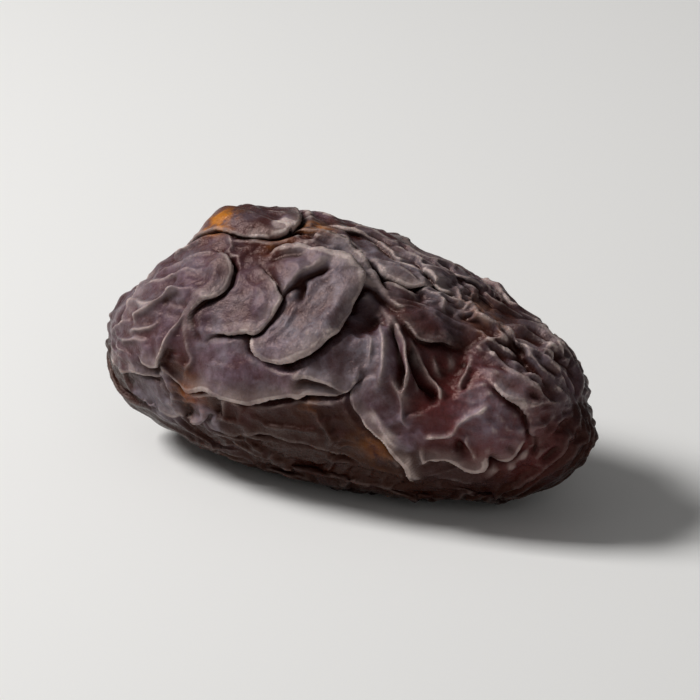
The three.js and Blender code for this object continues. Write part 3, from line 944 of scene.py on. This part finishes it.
class SkinColours:
    """The layers of colour of the skin, each laid over the ones before it. The numbers in a span
    are the values of a mask or noise between which a layer comes in, and its shares there."""

    def __init__(self, n):
        self.n = n
        self.cloudy, self.patchy = n.noise(5, 4), n.noise(1.6, 5, 0.65)
        self.grainy = n.noise(0.35, 4, 0.7)
        self.wide, self.close = n.mask("wide_relief"), n.mask("close_relief")
        self.fine, self.shaded_and_bare_belly = n.mask("fine_relief"), n.mask("shaded_and_bare_belly")
        self.bloom, self.pale = n.mask("bloom"), n.mask("pale")
        self.amber_spots = n.mask("amber")
        self.dust_and_sheen = self.dust_and_sheen_share()

    def flesh(self):
        n = self.n
        colour = n.mix(n.span(self.cloudy, 0.35, 0.65), FLESH, DARK_FLESH)
        # The underside is painted dark brown as shade; the bare patches get the same brown.
        colour = n.mix(self.shaded_and_bare_belly, colour, BARE_AND_SHADED_BROWN)
        wine = n.product(n.span(n.mask("wine"), 0.15, 0.75),
                         n.span(self.patchy, 0.2, 0.6, 0.6, 1.0))
        return n.mix(wine, colour, WINE_RED)

    def dust_and_sheen_share(self):
        """How much bloom, with painted sheen in it, lies on the skin: most on raised plates, in
        broken patches.
        """
        n = self.n
        plates = n.span(n.math("ADD", self.bloom, n.product(self.cloudy, 0.6)), 0.3, 1.3)
        raised = n.highest(n.span(self.wide, -0.9, 0.3), n.span(self.bloom, 1.1, 1.9))
        bare = n.highest(n.span(self.shaded_and_bare_belly, 0.1, 0.9, 1.0, 0.15), n.span(self.bloom, 0.7, 1.2))
        dust_and_sheen = n.product(plates, raised, n.span(self.patchy, 0.3, 0.6, 0.5, 1.0),
                            n.span(n.noise(3.6, 5, 0.7), 0.36, 0.58, 0.5, 1.0),
                            n.span(n.noise(0.7, 4, 0.7), 0.3, 0.7, 0.6, 1.2), bare)
        blotches = n.span(n.noise(2.6, 3, 0.6), 0.5, 0.68, 0.0, 0.06)
        return n.highest(dust_and_sheen, n.product(self.shaded_and_bare_belly, blotches))

    def with_bloom(self, colour):
        n = self.n
        greyed = n.highest(n.span(n.noise(3.2, 2), 0.4, 0.65, 0.0, 0.8),
                           n.span(n.mask("greyed"), 0.1, 0.8))
        # The bloom's colour, partly real bloom and partly painted sheen.
        return n.mix(self.dust_and_sheen, colour, n.mix(greyed, MAUVE_BLOOM_AND_SHEEN, GREY_BLOOM_AND_SHEEN))

    def with_amber(self, colour):
        n = self.n
        amber = n.product(self.amber_spots, n.span(n.noise(1.5, 3, 0.6), 0.33, 0.58),
                          n.span(self.close, -1.0, 0.6, 0.25, 1.0))
        return n.mix(amber, colour, AMBER_GOLD)

    def with_rims_and_highlights(self, colour):
        """Pale rims and ridges, partly the skin's thin pale edges and partly painted highlight,
        broken in places, with painted highlights along the fine ridges and a few pale dabs.
        """
        n = self.n
        pale_and_lit_rims = n.highest(n.product(n.mask("rim"), 0.75), n.span(self.close, 0.45, 2.0, 0.0, 0.9))
        broken = n.product(n.span(n.noise(2.0, 4, 0.65), 0.42, 0.6, 0.05, 0.9),
                           n.span(self.shaded_and_bare_belly, 0.2, 0.8, 1.0, 0.15))
        pale_and_lit_rims = n.product(pale_and_lit_rims, n.highest(self.pale, broken),
                         n.span(self.amber_spots, 0.15, 0.35, 1.0, 0.4))
        fine_ridge_highlights = n.product(n.span(self.fine, 0.7, 3.0, 0.0, 0.4),
                              n.span(self.shaded_and_bare_belly, 0.2, 0.8, 1.0, 0.2))
        dabs = n.product(n.span(self.pale, 1.05, 1.6, 0.0, 0.7),
                         n.span(self.patchy, 0.35, 0.6, 0.5, 1.0))
        return n.mix(n.highest(pale_and_lit_rims, fine_ridge_highlights, dabs), colour, PALE_RIM_AND_HIGHLIGHT)

    def with_scar(self, colour):
        n = self.n
        scar = n.product(n.mask("scar"), n.span(self.close, -1.0, 1.0, 0.5, 1.0))
        fibres = n.mix(n.span(n.mask("fibre"), 0.45, 1.0), SCAR_BROWN, SCAR_TAN)
        return n.mix(scar, colour, fibres)

    def with_painted_shade(self, colour):
        n = self.n
        # Painted shade: creases, deep hollows and the low places of the relief are painted near
        # black where shade falls.
        painted_shade = n.highest(n.mask("crease"), n.span(self.close, -0.5, -2.2),
                            n.span(self.wide, -0.5, -1.8), n.span(self.fine, -0.5, -2.5, 0.0, 0.7))
        colour = n.mix(n.product(painted_shade, 0.84), colour, SHADE_AND_SPECK_DARK)
        # Small dark specks at random, the skin's own grain.
        return n.mix(n.span(self.grainy, 0.35, 0.7, 0.0, 0.25), colour, SHADE_AND_SPECK_DARK)

    def layered(self):
        colour = self.with_amber(self.with_bloom(self.flesh()))
        return self.with_painted_shade(self.with_scar(self.with_rims_and_highlights(colour)))


def new_material(name):
    """A material and its shader."""
    material = bpy.data.materials.new(name)
    material.use_nodes = True
    return material, material.node_tree.nodes["Principled BSDF"]


def skin_material():
    material, shader = new_material("date_skin")
    n = Nodes(material)
    skin = SkinColours(n)
    n.feed(shader.inputs["Base Color"], skin.layered())
    dull = n.span(skin.dust_and_sheen, 0.0, 1.0, 0.29, 0.38)
    uneven = n.span(skin.grainy, 0.3, 0.7, -0.06, 0.08)
    n.feed(shader.inputs["Roughness"], n.math("ADD", dull, uneven))
    shader.inputs["Specular IOR Level"].default_value = SPECULAR_LEVEL
    shader.inputs["Specular Tint"].default_value = SPECULAR_TINT
    shader.inputs["Subsurface Weight"].default_value = SCATTERING
    shader.inputs["Subsurface Radius"].default_value = SCATTERING_REACH
    shader.inputs["Subsurface Scale"].default_value = SCATTERING_SCALE * MM
    puckers = n.bump(skin.patchy, PUCKER_DEPTH)
    n.feed(shader.inputs["Normal"], n.bump(skin.grainy, GRAIN_DEPTH, puckers))
    return material


def floor():
    half = 2.0  # metres
    material, shader = new_material("floor")
    shader.inputs["Base Color"].default_value = (0.86, 0.85, 0.83, 1)
    shader.inputs["Roughness"].default_value = 0.8
    mesh = bpy.data.meshes.new("floor")
    corners = [(-half, -half, 0), (half, -half, 0), (half, half, 0), (-half, half, 0)]
    mesh.from_pydata(corners, [], [(0, 1, 2, 3)])
    mesh.materials.append(material)
    plane = added("floor", mesh)


def lamp(name, position, size, power, target):
    data = bpy.data.lights.new(name, "AREA")
    data.size = size
    data.energy = power
    light = added(name, data)
    light.location = position
    light.rotation_euler = (Vector(position) - target).to_track_quat("Z", "Y").to_euler()


def studio(target):
    scene = bpy.context.scene
    scene.view_settings.view_transform = "Standard"
    world = bpy.data.worlds.new("studio")
    world.use_nodes = True
    background = world.node_tree.nodes["Background"]
    background.inputs["Color"].default_value = (1, 1, 1, 1)
    background.inputs["Strength"].default_value = 0.13
    scene.world = world
    lamp("key", position=(-0.34, -0.12, 0.36), size=0.16, power=2.7, target=target)
    lamp("fill", position=(0.4, -0.4, 0.3), size=0.4, power=0.3, target=target)


CENTRE = Vector((LOW + HIGH) / 2 * MM)
camera(CENTRE)
studio(CENTRE)
floor()

fine = Level(*FINE)
points = shrivel_in_steps(fine)
points = fitted(pinched(points, fine))
skin = skin_object(points, fine)
skin.data.materials.append(skin_material())
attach(skin, "root")
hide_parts("date")
